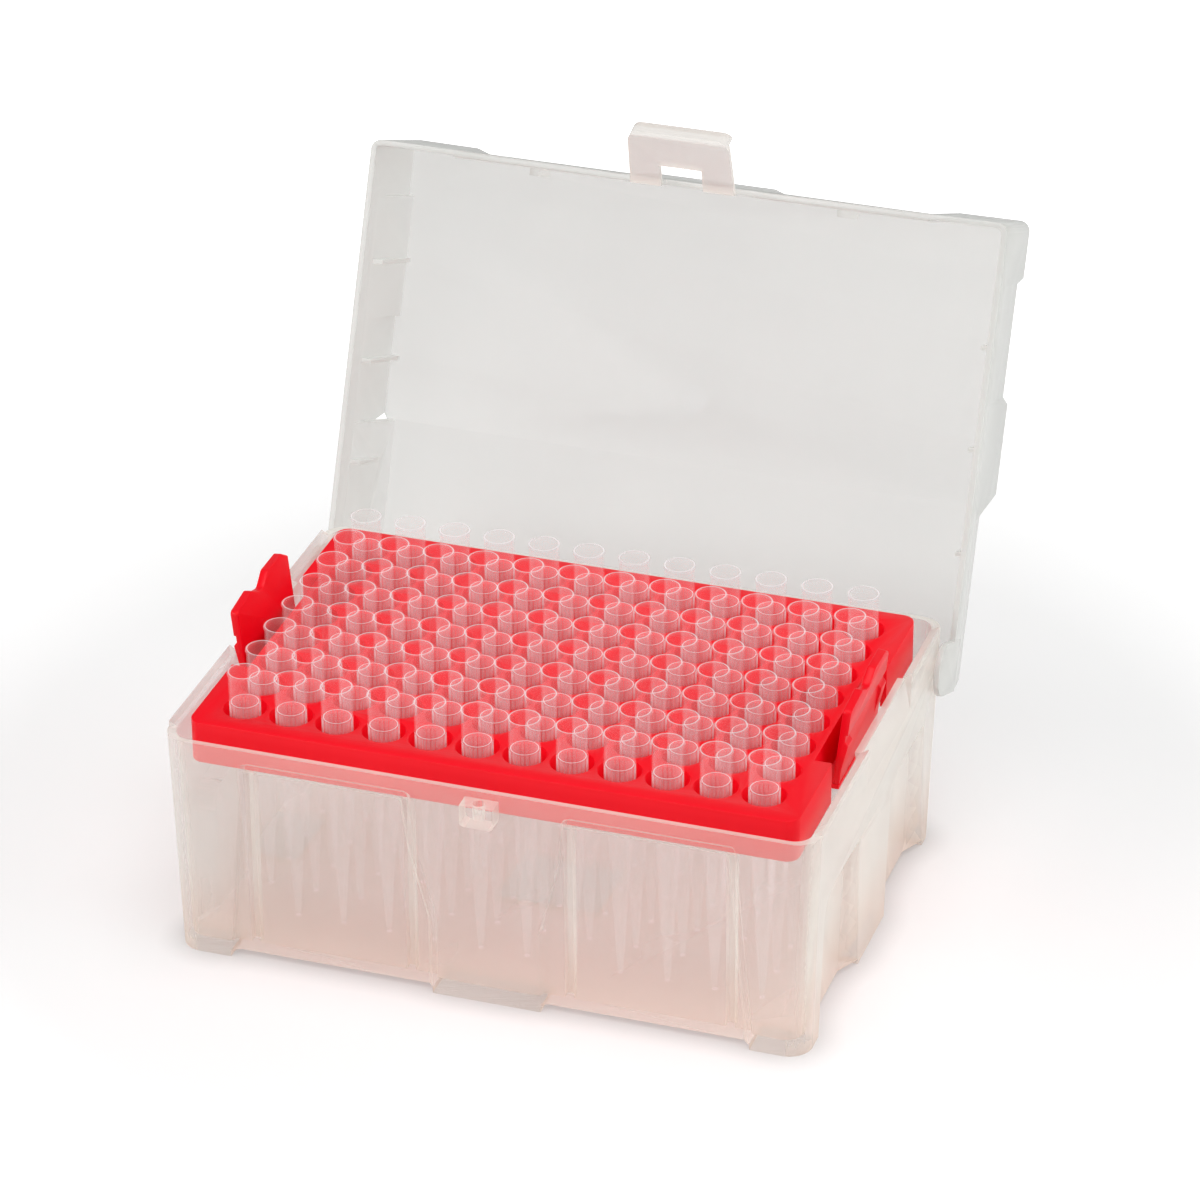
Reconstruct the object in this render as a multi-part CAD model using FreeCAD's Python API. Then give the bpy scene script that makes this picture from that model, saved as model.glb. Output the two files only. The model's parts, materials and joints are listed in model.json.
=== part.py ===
"""Box of pipette tips: a 96-tip rack with a snap-in tray, a hinged lid and a latch flap.

Millimetres, +Z up, +X to the right, +Y to the back.  Everything is worked out about the
middle of the 12 x 8 field of tips, with z = 0 on the bench.  The last step slides the whole
part along Y, so that the origin ends up under the middle of the part's bounding box.
"""
import FreeCAD, Part

import math
import os

V = FreeCAD.Vector
X_AXIS = V(1, 0, 0)
Y_AXIS = V(0, 1, 0)
Z_AXIS = V(0, 0, 1)
ORIGIN = V(0, 0, 0)

# ---------------------------------------------------------------- driving dimensions
# Tips: the field of a 96-well plate
PITCH = 9.0
COLUMNS = 12
ROWS = 8
TIP_LENGTH = 50.5
TIP_COLLAR_R = 2.9
TIP_RIM_R = 3.1
TIP_RIM_HEIGHT = 0.5
TIP_MOUTH_R = 2.6
TIP_MOUTH_DEPTH = 6.3
TIP_SEAT_R = 2.2
TIP_SEAT_STEP = 0.3
TIP_WALL = 0.4
TIP_MID_R = 1.6
TIP_MID_BELOW_COLLAR = 21.0
TIP_END_R = 0.5
TIP_END_BORE_R = 0.25
TIP_COLLAR_LENGTH = 12.5
TIP_FLOOR_GAP = 5.0

# Tray: a slab with a stepped well for each tip
TRAY_MARGIN_X = 8.3
TRAY_MARGIN_Y = 7.7
TRAY_CORNER_R = 2.5
TRAY_SLAB = 6.0
TRAY_SKIRT = 2.3
TRAY_SKIRT_WALL = 1.2
WELL_WEB = 0.9
WELL_DEPTH = 4.8
TIP_FIT = 0.05

# Levers that free the tray, one at each end of it
LEVER_WALL = 1.2
LEVER_GRIP = 0.4
LEVER_HEIGHT = 16.3
LEVER_LEAN = 6.2
LEVER_GRIP_START = 10.4
# (y, drop below the full height, corner radius) along the scalloped top, from the back
LEVER_SCALLOPS = ((12.7, 1.8, 0.5), (9.9, 0.0, 1.0), (3.1, 0.0, 1.5), (-0.1, 2.2, 1.5), (-2.3, 1.6, 0.8),
                  (-5.4, 0.0, 1.0), (-12.5, 0.8, 0.8))
LEVER_HOOK_HEIGHT = 9.0
LEVER_HOOK_DROP = 6.0
LEVER_HOOK_WIDTH = 3.2
LEVER_HOOK_REACH = 0.7
LEVER_BAY_DEPTH = 3.2
LEVER_BAY_FRONT_GAP = 4.8
LEVER_BAY_BACK_GAP = 5.9
WEB = 0.9
HINGE_GAP = 0.3

# Base: an open tub with drafted walls
TRAY_PROUD = 2.7
TRAY_SIDE_FIT = 2.6
TRAY_FRONT_FIT = 1.8
TRAY_BACK_FIT = 4.1
BASE_SIDE_DRAFT = 1.3
BASE_END_DRAFT = 0.6
BASE_BACK_DRAFT = 1.4
BASE_CORNER_R = 4.5
BASE_SIDE_WALL = 1.7
BASE_END_WALL = 1.1
BASE_FLOOR = 1.5
BASE_FOOT = 1.2
RIM_WEDGE = 1.1
PILLAR_HALF_X = 10.4
CORNER_PILLAR_X = 50.2
SIDE_PILLAR_FRONT = -8.0
SIDE_PILLAR_BACK = 9.5
CORNER_PILLAR_FRONT = -33.5
CORNER_PILLAR_BACK = 36.0
END_RECESS_BEND_Z = 16.0
END_RECESS_BEND_R = 12.0
END_RECESS_WAIST_Z = 29.0
END_RECESS_BELOW_RIM = 4.1
END_RECESS_DEPTH = 1.2
END_RECESS_SLOPE = 1.0
END_RECESS_CORNER_R = 0.8
PILLAR_WAIST_X = 13.8
PILLAR_TOP_X = 15.4
CORNER_WAIST_X = 47.6
CORNER_TOP_X = 46.4
SIDE_RECESS_TOP = 29.5
SIDE_RECESS_DEPTH = 2.4
SIDE_RECESS_NARROWING = 3.5
SIDE_RECESS_FRONT_SLOPE = 6.0
SIDE_RECESS_BACK_SLOPE = 5.4
SIDE_RECESS_TOP_SLOPE = 4.0
SIDE_RECESS_FRONT_R = 5.0
SIDE_RECESS_BACK_R = 1.0
SCOOP_FRONT = -8.0
SCOOP_BACK = 20.5
SCOOP_HEIGHT = 7.6
SCOOP_DEPTH = 1.5
SCOOP_WALL = 1.2
TRAY_REST_WALL = 1.7
TRAY_REST_REACH = 1.6
TRAY_REST_XS = (-45.9, -15.3, 15.3, 45.9)
TRAY_GUIDE_HEIGHT = 1.5
TRAY_GUIDE_REACH = 0.9
TRAY_GUIDE_R = 0.7

# Catch on the front of the base
CATCH_HALF_X = 3.2
CATCH_BELOW_RIM = 1.4
CATCH_HEIGHT = 4.4
CATCH_REACH = 3.3
CATCH_HOLE_R = 1.1
CATCH_HOLE_DEPTH = 3.0
CATCH_CORNER_R = 1.0

# Lid: a shallow drafted tub, worked out closed and then swung open
LID_OVERLAP = 3.1
LID_HEADROOM = 7.45
LID_WALL = 1.05
LID_SIDE_FIT = 0.45
LID_FRONT_FIT = 1.85
LID_BOW = 0.6
LID_BOW_R = 5200.0
LID_BACK_FIT = 0.8
LID_BACK_GAP = 0.7
LID_DRAFT = 0.6
LID_END_DRAFT = 0.2
LID_CORNER_R = 2.0
LID_RIM_STEP = 0.1
LID_PANEL_CLEAR = 0.3
LID_SIDE_PANEL = (-32.7, -10.8)
LID_SIDE_PANEL_DRAFT = 1.55
LID_SIDE_PANEL_SLOPE = 1.2
LID_BACK_PANEL_FRONT = 11.9
LID_BACK_PANEL_DRAFT = 3.15
LID_BACK_PANEL_SLOPE = 1.5
LID_END_PANEL = (14.0, 46.5)
LID_END_PANEL_DRAFT = 0.5
LID_END_PANEL_SLOPE = 3.0
LID_RIB = 0.8
LID_RIB_YS = (-21.0, -1.5, 18.5)
LID_RIB_REACH = 2.2
LID_RIB_CLEAR = 0.8
LID_TOOTH_XS = (-32.6, 29.2)
LID_TOOTH_LENGTH = 4.3
LID_TOOTH_REACH = 2.2
LID_TOOTH_HEIGHT = 3.0
GATE_X = 1.0
GATE_Y = -1.7
GATE_R = 3.0
GATE_DEPTH = 0.5
LID_REST_ANGLE = 112.5

# Hinge between lid and base
HINGE_INSET = 4.9
HINGE_BELOW_RIM = 8.0
EAR_R = 5.0
PIN_R = 1.5
PIN_FIT = 0.06
PIN_LENGTH = 2.6

# Latch flap, carried by a thin moulded hinge on the front rim of the lid
LATCH_HALF_X = 10.4
LATCH_END_HALF_X = 10.0
LATCH_LENGTH = 12.0
LATCH_LIP = 2.5
LATCH_BEND_R = 0.6
LATCH_CORNER_R = 2.0
LATCH_REST_ANGLE = 52.6
WINDOW_FIT = 1.0
WINDOW_ABOVE_RIM = 2.4
WINDOW_BELOW_RIM = 5.6

# ---------------------------------------------------------------- worked-out places
TIP_TOP_Z = TIP_FLOOR_GAP + TIP_LENGTH
TIP_SEAT_Z = TIP_TOP_Z - TIP_COLLAR_LENGTH
TRAY_TOP_Z = TIP_SEAT_Z + WELL_DEPTH
TRAY_UNDER_Z = TRAY_TOP_Z - TRAY_SLAB
TRAY_BOTTOM_Z = TRAY_UNDER_Z - TRAY_SKIRT
TRAY_HALF_X = (COLUMNS - 1) / 2 * PITCH + TRAY_MARGIN_X
TRAY_HALF_Y = (ROWS - 1) / 2 * PITCH + TRAY_MARGIN_Y
WELL_R = (PITCH - WELL_WEB) / 2
TIP_NECK_R = TIP_COLLAR_R - TIP_SEAT_STEP
LEVER_FRONT = LEVER_SCALLOPS[-1][0]
LEVER_BACK = LEVER_SCALLOPS[0][0]
LEVER_ROOT_X = TRAY_HALF_X - LEVER_WALL
LEVER_BAY_X = TRAY_HALF_X - LEVER_BAY_DEPTH
BASE_HEIGHT = TRAY_TOP_Z - TRAY_PROUD
BASE_HALF_X = TRAY_HALF_X + TRAY_SIDE_FIT + BASE_SIDE_WALL
BASE_FRONT_Y = -TRAY_HALF_Y - TRAY_FRONT_FIT - BASE_END_WALL
BASE_BACK_Y = TRAY_HALF_Y + TRAY_BACK_FIT + BASE_END_WALL
BASE_MID_Y = (BASE_FRONT_Y + BASE_BACK_Y) / 2
BASE_FLOOR_Z = BASE_FOOT + BASE_FLOOR
END_RECESS_TOP = BASE_HEIGHT - END_RECESS_BELOW_RIM
CATCH_TOP = BASE_HEIGHT - CATCH_BELOW_RIM
HINGE_Y = BASE_BACK_Y - HINGE_INSET
HINGE_Z = BASE_HEIGHT - HINGE_BELOW_RIM
LID_RIM_Z = BASE_HEIGHT - LID_OVERLAP
LID_DEPTH = TIP_TOP_Z + LID_HEADROOM + LID_WALL - LID_RIM_Z
LID_PANEL_START = BASE_HEIGHT + RIM_WEDGE + LID_PANEL_CLEAR - LID_RIM_Z
LID_HALF_X = BASE_HALF_X + LID_SIDE_FIT + LID_WALL
LID_BACK_Y = BASE_BACK_Y + LID_BACK_FIT
LID_BACK_RIM_Z = BASE_HEIGHT + LID_BACK_GAP
LID_FRONT_Y = BASE_FRONT_Y - LID_FRONT_FIT - LID_WALL
LATCH_FRONT_Y = LID_FRONT_Y + LID_BOW
LATCH_PIVOT_Y = LATCH_FRONT_Y + LID_WALL / 2
LATCH_PIVOT_Z = LID_RIM_Z - HINGE_GAP - LID_WALL / 2
WINDOW_HALF_X = CATCH_HALF_X + WINDOW_FIT
PAST = 2.0


# ---------------------------------------------------------------- helpers
def block(x0, x1, y0, y1, z0, z1):
    """Box between two corners."""
    return Part.makeBox(x1 - x0, y1 - y0, z1 - z0, V(x0, y0, z0))


def fused(shapes):
    """One solid out of pieces that touch or overlap."""
    shapes = list(shapes)
    return shapes[0].fuse(shapes[1:]).removeSplitter() if len(shapes) > 1 else shapes[0]


def rounded(points):
    """Closed wire through (a, b, corner radius) points in the plane z = 0, with tangent arcs."""
    corners = []
    count = len(points)
    for i in range(count):
        a, b, radius = points[i]
        here = V(a, b, 0)
        if radius == 0:
            corners.append([here])
            continue
        before = (V(points[i - 1][0], points[i - 1][1], 0) - here).normalize()
        after = (V(points[(i + 1) % count][0], points[(i + 1) % count][1], 0) - here).normalize()
        half = before.getAngle(after) / 2
        reach = radius / math.tan(half)
        middle = (before + after).normalize() * (radius / math.sin(half) - radius)
        corners.append([here + before * reach, here + middle, here + after * reach])
    edges = []
    for i in range(count):
        edges.append(Part.makeLine(corners[i - 1][-1], corners[i][0]))
        if len(corners[i]) == 3:
            edges.append(Part.Arc(*corners[i]).toShape())
    return Part.Wire(edges)


def grown(points, by):
    """The same outline with every side moved outward, for points that run anticlockwise."""
    moved = []
    count = len(points)
    for i in range(count):
        a, b, radius = points[i]
        back = V(a - points[i - 1][0], b - points[i - 1][1], 0).normalize()
        on = V(points[(i + 1) % count][0] - a, points[(i + 1) % count][1] - b, 0).normalize()
        out = V(back.y + on.y, -back.x - on.x, 0)
        out = out * (by / (1 + back.dot(on)))
        moved.append((a + out.x, b + out.y, radius))
    return moved


def slab(points, z0, z1):
    """Upright prism on a rounded outline."""
    wire = rounded(points)
    wire.translate(V(0, 0, z0))
    return Part.Face(wire).extrude(V(0, 0, z1 - z0))


def prism_x(points, x0, x1):
    """Prism along X on a rounded outline given in (y, z)."""
    solid = slab(points, x0, x1)
    solid.Placement = FreeCAD.Placement(ORIGIN, FreeCAD.Rotation(Y_AXIS, Z_AXIS, X_AXIS, "ZXY"))
    return solid


def prism_y(points, y0, y1):
    """Prism along Y on a rounded outline given in (x, z)."""
    solid = slab(points, -y1, -y0)
    solid.rotate(ORIGIN, X_AXIS, 90)
    return solid


def mirrored_x(shape):
    """The same thing on the other side of the middle plane x = 0."""
    return shape.mirror(ORIGIN, X_AXIS)


def mirrored_y(shape):
    """The same thing on the other long wall of the base."""
    return shape.mirror(V(0, BASE_MID_Y, 0), Y_AXIS)


def plan(half_x, front, back, front_r, back_r):
    """Anticlockwise plan of a box with rounded corners."""
    return [(-half_x, front, front_r), (half_x, front, front_r),
            (half_x, back, back_r), (-half_x, back, back_r)]


def tub(low, high, z0, z1):
    """Solid between a low plan and a high plan, with straight drafted walls."""
    wires = []
    for points, z in ((low, z0), (high, z1)):
        wire = rounded(points)
        wire.translate(V(0, 0, z))
        wires.append(wire)
    return Part.makeLoft(wires, True, True)


def on_wall(shape, side, distance, lean):
    """Carry a shape from (along, up, out) onto a wall: side 0 is the front, 1 the right."""
    shape.rotate(ORIGIN, X_AXIS, 90 + lean)
    shape.translate(V(0, -distance, 0))
    shape.rotate(ORIGIN, Z_AXIS, 90 * side)
    return shape


def dish(mouth, floor, depth, past=0.0):
    """Recess body from a mouth outline at out = 0 down to a smaller floor outline."""
    share = past / depth
    outer = [(m[0] + (m[0] - f[0]) * share, m[1] + (m[1] - f[1]) * share, m[2]) for m, f in zip(mouth, floor)]
    top = rounded(outer)
    top.translate(V(0, 0, past))
    bottom = rounded(floor)
    bottom.translate(V(0, 0, -depth))
    return Part.makeLoft([bottom, top], True, True)


def recess(mouth, floor, depth, past, wall, side, distance, lean):
    """A pressed-in panel: the pocket outside and the bump that keeps the wall behind it."""
    pocket = on_wall(dish(mouth, floor, depth, past), side, distance, lean)
    bump = on_wall(dish(grown(mouth, wall), grown(floor, wall), depth + wall), side, distance, lean)
    return pocket, bump


# ---------------------------------------------------------------- base
def end_recess():
    """Panel between the middle pillar and the right corner pillar of a long wall."""
    low = -PAST
    mouth = [
        (PILLAR_HALF_X, low, 0),
        (CORNER_PILLAR_X, low, 0),
        (CORNER_WAIST_X, END_RECESS_WAIST_Z, 0),
        (CORNER_TOP_X, END_RECESS_TOP, END_RECESS_CORNER_R),
        (PILLAR_TOP_X, END_RECESS_TOP, END_RECESS_CORNER_R),
        (PILLAR_WAIST_X, END_RECESS_WAIST_Z, 0),
        (PILLAR_HALF_X, END_RECESS_BEND_Z, END_RECESS_BEND_R),
    ]
    floor = grown(mouth, -END_RECESS_SLOPE)
    floor[0] = (floor[0][0], low, 0)
    floor[1] = (floor[1][0], low, 0)
    lean = math.degrees(math.atan2(BASE_END_DRAFT, BASE_HEIGHT))
    foot_y = -BASE_FRONT_Y - BASE_END_DRAFT
    return recess(mouth, floor, END_RECESS_DEPTH, PAST, BASE_END_WALL, 0, foot_y, lean)


def side_recess(front, back):
    """Panel between two pillars of the right wall, with sloping sides."""
    low = -PAST
    top = SIDE_RECESS_TOP
    mouth = [(front, low, 0), (back, low, 0), (back - SIDE_RECESS_NARROWING, top, SIDE_RECESS_BACK_R),
             (front, top, SIDE_RECESS_FRONT_R)]
    floor_front = front + SIDE_RECESS_FRONT_SLOPE
    floor_back = back - SIDE_RECESS_BACK_SLOPE
    floor_top = top - SIDE_RECESS_TOP_SLOPE
    floor = [(floor_front, low, 0), (floor_back, low, 0), (floor_back, floor_top, SIDE_RECESS_BACK_R),
             (floor_front, floor_top, SIDE_RECESS_FRONT_R)]
    lean = math.degrees(math.atan2(BASE_SIDE_DRAFT, BASE_HEIGHT))
    foot_x = BASE_HALF_X - BASE_SIDE_DRAFT
    return recess(mouth, floor, SIDE_RECESS_DEPTH, PAST, BASE_SIDE_WALL, 1, foot_x, lean)


def base_feet_cut():
    """What is taken from under the floor so that the box stands on nine pads."""
    wide = 2 * BASE_HALF_X
    strips = []
    for x0, x1 in ((-CORNER_PILLAR_X, -PILLAR_HALF_X), (PILLAR_HALF_X, CORNER_PILLAR_X)):
        strips.append(block(x0, x1, -wide, wide, -PAST, BASE_FOOT))
    for y0, y1 in ((CORNER_PILLAR_FRONT, SIDE_PILLAR_FRONT), (SIDE_PILLAR_BACK, CORNER_PILLAR_BACK)):
        strips.append(block(-wide, wide, y0, y1, -PAST, BASE_FOOT))
    return strips


def rim_wedge():
    """Strip along the right rim that rises outward, left out at the finger scoop."""
    inner = BASE_HALF_X - BASE_SIDE_WALL
    low = BASE_HEIGHT - RIM_WEDGE
    section = [(inner, BASE_HEIGHT, 0), (inner, low, 0), (BASE_HALF_X, low, 0),
               (BASE_HALF_X, BASE_HEIGHT + RIM_WEDGE, 0)]
    front = BASE_FRONT_Y + BASE_CORNER_R
    back = BASE_BACK_Y - BASE_CORNER_R
    return [prism_y(section, front, SCOOP_FRONT), prism_y(section, SCOOP_BACK, back)]


def finger_scoop():
    """The dip in the right wall beside a lever: what is cut outside and what is added inside."""
    top = BASE_HEIGHT + RIM_WEDGE
    low = BASE_HEIGHT - SCOOP_HEIGHT
    outer_top = BASE_HALF_X - SCOOP_DEPTH
    inner_top = outer_top - SCOOP_WALL
    outside = BASE_HALF_X + PAST
    cut = prism_y([(outer_top, top, 0), (BASE_HALF_X, low, 0), (outside, low, 0), (outside, top, 0)],
                  SCOOP_FRONT, SCOOP_BACK)
    wall_inner = BASE_HALF_X - BASE_SIDE_WALL
    wall_middle = BASE_HALF_X - BASE_SIDE_WALL / 2
    add = prism_y([(inner_top, BASE_HEIGHT, 0), (wall_inner, low, 0), (wall_middle, low, 0),
                   (wall_middle, BASE_HEIGHT, 0)], SCOOP_FRONT, SCOOP_BACK)
    return cut, add


def catch():
    """The block under the front rim that the window of the latch flap drops over, with a round hole."""
    low = CATCH_TOP - CATCH_HEIGHT
    front = BASE_FRONT_Y - CATCH_REACH
    outline = [(-CATCH_HALF_X, low, CATCH_CORNER_R), (CATCH_HALF_X, low, CATCH_CORNER_R),
               (CATCH_HALF_X, CATCH_TOP, 0), (-CATCH_HALF_X, CATCH_TOP, 0)]
    body = prism_y(outline, front, BASE_FRONT_Y + BASE_END_WALL / 2)
    foot = V(0, BASE_FRONT_Y - CATCH_REACH / 2, CATCH_TOP - CATCH_HOLE_DEPTH)
    return body.cut(Part.makeCylinder(CATCH_HOLE_R, CATCH_HOLE_DEPTH + PAST, foot))


def tray_rests():
    """Upright ribs on the long walls: each carries the skirt of the tray, and a round top guides it."""
    ribs = []
    reach = TRAY_HALF_Y - TRAY_REST_REACH
    front = BASE_FRONT_Y + BASE_END_WALL
    back = BASE_BACK_Y - BASE_END_WALL
    guide_z = TRAY_BOTTOM_Z + TRAY_GUIDE_HEIGHT
    for x in TRAY_REST_XS:
        x0 = x - TRAY_REST_WALL / 2
        x1 = x + TRAY_REST_WALL / 2
        ribs.append(block(x0, x1, front, -reach, BASE_FOOT, TRAY_BOTTOM_Z))
        ribs.append(block(x0, x1, reach, back, BASE_FOOT, TRAY_BOTTOM_Z))
        guide = [(x0, BASE_FOOT, 0), (x1, BASE_FOOT, 0),
                 (x1, guide_z, TRAY_GUIDE_R), (x0, guide_z, TRAY_GUIDE_R)]
        ribs.append(prism_y(guide, front - BASE_END_WALL / 2, front + TRAY_GUIDE_REACH))
        ribs.append(prism_y(guide, back - TRAY_GUIDE_REACH, back + BASE_END_WALL / 2))
    return ribs


def make_base():
    """The tub, its pressed-in panels, feet, rim, catch and the holes for the hinge pins."""
    foot_front = BASE_FRONT_Y + BASE_END_DRAFT
    foot_back = BASE_BACK_Y - BASE_BACK_DRAFT
    foot_plan = plan(BASE_HALF_X - BASE_SIDE_DRAFT, foot_front, foot_back, BASE_CORNER_R, BASE_CORNER_R)
    rim_plan = plan(BASE_HALF_X, BASE_FRONT_Y, BASE_BACK_Y, BASE_CORNER_R, BASE_CORNER_R)

    def inner(points):
        (x, front, r), back = points[1], points[2][1]
        return plan(x - BASE_SIDE_WALL, front + BASE_END_WALL, back - BASE_END_WALL, r - BASE_END_WALL,
                    r - BASE_END_WALL)

    outside = tub(foot_plan, rim_plan, 0, BASE_HEIGHT)
    cavity = tub(inner(foot_plan), inner(rim_plan), BASE_FLOOR_Z, BASE_HEIGHT)
    pockets = []
    bumps = []
    for pocket, bump in (end_recess(), side_recess(CORNER_PILLAR_FRONT, SIDE_PILLAR_FRONT),
                         side_recess(SIDE_PILLAR_BACK, CORNER_PILLAR_BACK)):
        pockets += [pocket, mirrored_x(pocket)]
        bumps += [bump, mirrored_x(bump)]
    for kind in (pockets, bumps):
        kind += [mirrored_y(kind[0]), mirrored_y(kind[1])]
    bumps = [bump.common(outside) for bump in bumps]
    cut, add = finger_scoop()
    wedges = rim_wedge()
    shell = outside.cut(cavity)
    shell = fused([shell, add, mirrored_x(add)] + bumps + tray_rests())
    shell = shell.cut(pockets + base_feet_cut())
    shell = fused([shell, catch()] + wedges + [mirrored_x(w) for w in wedges])
    inner_x = BASE_HALF_X - BASE_SIDE_WALL - PAST
    hole = Part.makeCylinder(PIN_R + PIN_FIT, BASE_SIDE_WALL + 2 * PAST, V(inner_x, HINGE_Y, HINGE_Z), X_AXIS)
    return shell.cut([cut, mirrored_x(cut), hole, mirrored_x(hole)])


# ---------------------------------------------------------------- lid and latch
def swung_open(shape):
    """From the closed pose to the pose in which the lid stands open."""
    shape.rotate(V(0, HINGE_Y, HINGE_Z), X_AXIS, -LID_REST_ANGLE)
    return shape


def lid_recess(a0, a1, draft, slope, side, distance):
    """Panel on a wall of the lid that leans in more than the wall, from just over the base's rim up."""
    height = LID_DEPTH - LID_PANEL_START
    high = height + PAST
    floor = [(a0, 0, 0), (a1, 0, 0), (a1, high, 0), (a0, high, 0)]
    mouth = grown(floor, slope * LID_RIM_STEP)
    lean = -math.degrees(math.atan2(draft, height))
    pocket, bump = recess(mouth, floor, LID_RIM_STEP, draft + PAST, LID_WALL, side, distance, lean)
    for shape in (pocket, bump):
        shape.translate(V(0, 0, LID_PANEL_START))
    return pocket, bump


def lid_plan(inset, draft_x, draft_y):
    """Plan of the lid, with the long front side bowed inward a little."""
    half_x = LID_HALF_X - inset - draft_x
    front = LID_FRONT_Y + inset + draft_y
    back = LID_BACK_Y - inset - draft_x
    radius = LID_CORNER_R - inset
    return [(-half_x, front, radius), (0, front + LID_BOW, LID_BOW_R), (half_x, front, radius),
            (half_x, back, radius), (-half_x, back, radius)]


def make_lid():
    """The lid, worked out closed: a drafted tub upside down with two ears and two hinge pins."""
    outside = tub(lid_plan(0, 0, 0), lid_plan(0, LID_DRAFT, LID_END_DRAFT), 0, LID_DEPTH)
    cavity = tub(lid_plan(LID_WALL, 0, 0), lid_plan(LID_WALL, LID_DRAFT, LID_END_DRAFT), 0, LID_DEPTH)
    room = block(-LID_HALF_X, LID_HALF_X, LID_FRONT_Y, LID_BACK_Y, 0, LID_DEPTH - LID_WALL)
    cavity = cavity.common(room)
    panels = [
        lid_recess(*LID_SIDE_PANEL, LID_SIDE_PANEL_DRAFT, LID_SIDE_PANEL_SLOPE, 1, LID_HALF_X),
        lid_recess(LID_BACK_PANEL_FRONT, LID_BACK_Y + PAST, LID_BACK_PANEL_DRAFT, LID_BACK_PANEL_SLOPE, 1,
                   LID_HALF_X),
        lid_recess(*LID_END_PANEL, LID_END_PANEL_DRAFT, LID_END_PANEL_SLOPE, 0, -LID_FRONT_Y - LID_BOW),
    ]
    pockets = []
    bumps = []
    for pocket, bump in panels:
        pockets += [pocket, mirrored_x(pocket)]
        bumps += [bump.common(outside), mirrored_x(bump).common(outside)]
    ribs = [rib.common(outside) for rib in lid_ribs()]
    shell = fused([outside.cut(cavity)] + bumps + ribs).cut(pockets)
    back_gap = block(-LID_HALF_X + LID_CORNER_R, LID_HALF_X - LID_CORNER_R,
                     LID_BACK_Y - 2 * LID_WALL, LID_BACK_Y + PAST, -PAST, LID_BACK_RIM_Z - LID_RIM_Z)
    notch = block(-WINDOW_HALF_X, WINDOW_HALF_X, LID_FRONT_Y - PAST, LID_FRONT_Y + 2 * LID_WALL,
                  -PAST, WINDOW_ABOVE_RIM)
    gate = Part.makeCylinder(GATE_R, PAST, V(GATE_X, GATE_Y, LID_DEPTH - GATE_DEPTH))
    shell = shell.cut([back_gap, notch, gate])
    shell.translate(V(0, 0, LID_RIM_Z))
    ears = lid_ears()
    shell = fused([shell] + ears + [mirrored_x(ear) for ear in ears])
    return swung_open(shell)


def lid_ribs():
    """Stiffening ribs on the side walls and the teeth inside the front wall, before the lid is placed."""
    ribs = []
    clear = BASE_HEIGHT + RIM_WEDGE + LID_RIB_CLEAR - LID_RIM_Z
    inner_x = LID_HALF_X - LID_WALL - LID_RIB_REACH
    for y in LID_RIB_YS:
        rib = block(inner_x, LID_HALF_X, y - LID_RIB / 2, y + LID_RIB / 2, clear, LID_DEPTH)
        ribs += [rib, mirrored_x(rib)]
    inner_y = LID_FRONT_Y + LID_WALL + LID_TOOTH_REACH
    for x in LID_TOOTH_XS:
        outline = [(x, clear, 0), (x + LID_TOOTH_LENGTH, clear, 0), (x, clear + LID_TOOTH_HEIGHT, 0)]
        ribs.append(prism_y(outline, LID_FRONT_Y, inner_y))
    return ribs


def lid_ears():
    """Flat ear that hangs from the rim band of the right wall, and its pin, which points inward."""
    x0 = LID_HALF_X - LID_WALL
    disc = Part.makeCylinder(EAR_R, LID_WALL, V(x0, HINGE_Y, HINGE_Z), X_AXIS)
    strap = block(x0, LID_HALF_X, HINGE_Y - EAR_R, HINGE_Y + EAR_R, HINGE_Z, LID_RIM_Z + LID_PANEL_START)
    pin = Part.makeCylinder(PIN_R, PIN_LENGTH + LID_WALL / 2, V(x0 - PIN_LENGTH, HINGE_Y, HINGE_Z), X_AXIS)
    return [disc, strap, pin]


def make_latch():
    """The flap, worked out hanging straight down in front of the catch, then swung up with the lid."""
    front = LATCH_FRONT_Y
    back = LATCH_FRONT_Y + LID_WALL
    bottom = LATCH_PIVOT_Z - LATCH_LENGTH
    lip = front - LATCH_LIP
    section = [(back, LATCH_PIVOT_Z, 0), (front, LATCH_PIVOT_Z, 0), (front, bottom + LID_WALL, LATCH_BEND_R),
               (lip, bottom + LID_WALL, 0), (lip, bottom, 0), (back, bottom, LATCH_BEND_R)]
    flap = prism_x(section, -LATCH_HALF_X, LATCH_HALF_X)
    pivot = V(-LATCH_HALF_X, LATCH_PIVOT_Y, LATCH_PIVOT_Z)
    bead = Part.makeCylinder(LID_WALL / 2, 2 * LATCH_HALF_X, pivot, X_AXIS)
    window = block(-WINDOW_HALF_X, WINDOW_HALF_X, front - PAST, back + PAST,
                   LID_RIM_Z - WINDOW_BELOW_RIM, LID_RIM_Z)
    face = prism_y([(-LATCH_END_HALF_X, bottom, LATCH_CORNER_R), (LATCH_END_HALF_X, bottom, LATCH_CORNER_R),
                    (LATCH_HALF_X, LID_RIM_Z, 0), (-LATCH_HALF_X, LID_RIM_Z, 0)], lip - PAST, back + PAST)
    latch = fused([flap, bead]).common(face).cut(window)
    latch.rotate(V(0, LATCH_PIVOT_Y, LATCH_PIVOT_Z), X_AXIS, -LATCH_REST_ANGLE)
    return swung_open(latch)


# ---------------------------------------------------------------- tray and levers
def tip_places():
    """Middle of each tip, column by column from the left and front to back."""
    xs = [(i - (COLUMNS - 1) / 2) * PITCH for i in range(COLUMNS)]
    ys = [(j - (ROWS - 1) / 2) * PITCH for j in range(ROWS)]
    return [[(x, y) for y in ys] for x in xs]


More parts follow.
